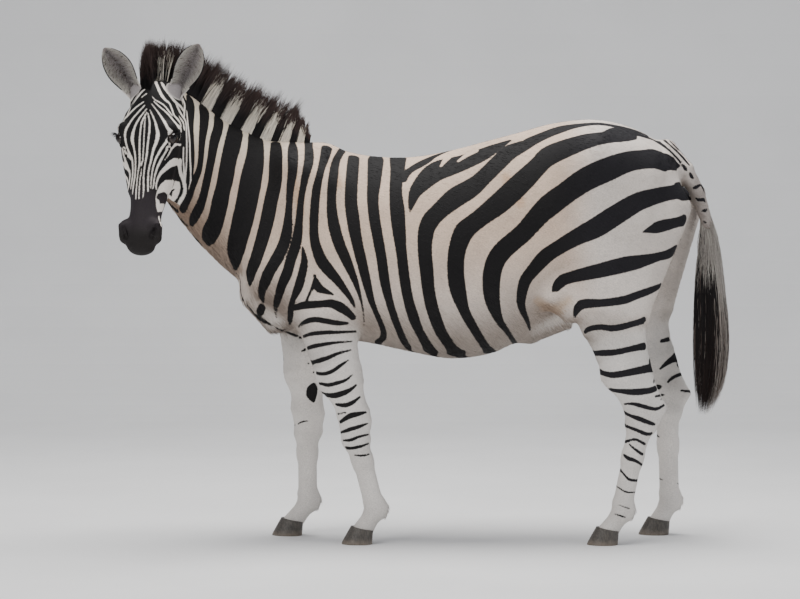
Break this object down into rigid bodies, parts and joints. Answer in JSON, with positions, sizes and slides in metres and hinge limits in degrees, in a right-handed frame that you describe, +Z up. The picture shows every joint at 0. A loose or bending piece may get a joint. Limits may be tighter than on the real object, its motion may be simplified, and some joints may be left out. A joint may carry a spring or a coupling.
{
  "type": "zebra, life-size still model",
  "caption": "Plains zebra standing on four hooves, neck bent and head turned to its left, a still life-size display model.",
  "frame": {"origin": "ground point under the centre of the whole model's box", "axes": "+Z up; the animal faces -X and its left side faces -Y, so the trunk's length lies along X and its width along Y"},
  "size_m": [1.9897, 0.6804, 1.5946],
  "materials": {
    "coat": "short striped coat over skin",
    "hair": "coarse matt hair",
    "horn": "satin hoof horn",
    "eye": "wet and glossy"
  },
  "bodies": {
    "root": {"head": "coat", "neck": "coat", "trunk": "coat", "tail_dock": "coat", "tail_tuft": "hair", "mane": "hair", "ear_left": "coat", "ear_right": "coat", "eye_left": "eye", "eye_right": "eye", "foreleg_left_upper": "coat", "foreleg_left_lower": "coat", "forehoof_left": "horn", "foreleg_right_upper": "coat", "foreleg_right_lower": "coat", "forehoof_right": "horn", "hindleg_left_upper": "coat", "hindleg_left_lower": "coat", "hindhoof_left": "horn", "hindleg_right_upper": "coat", "hindleg_right_lower": "coat", "hindhoof_right": "horn"}
  },
  "joints": []
}
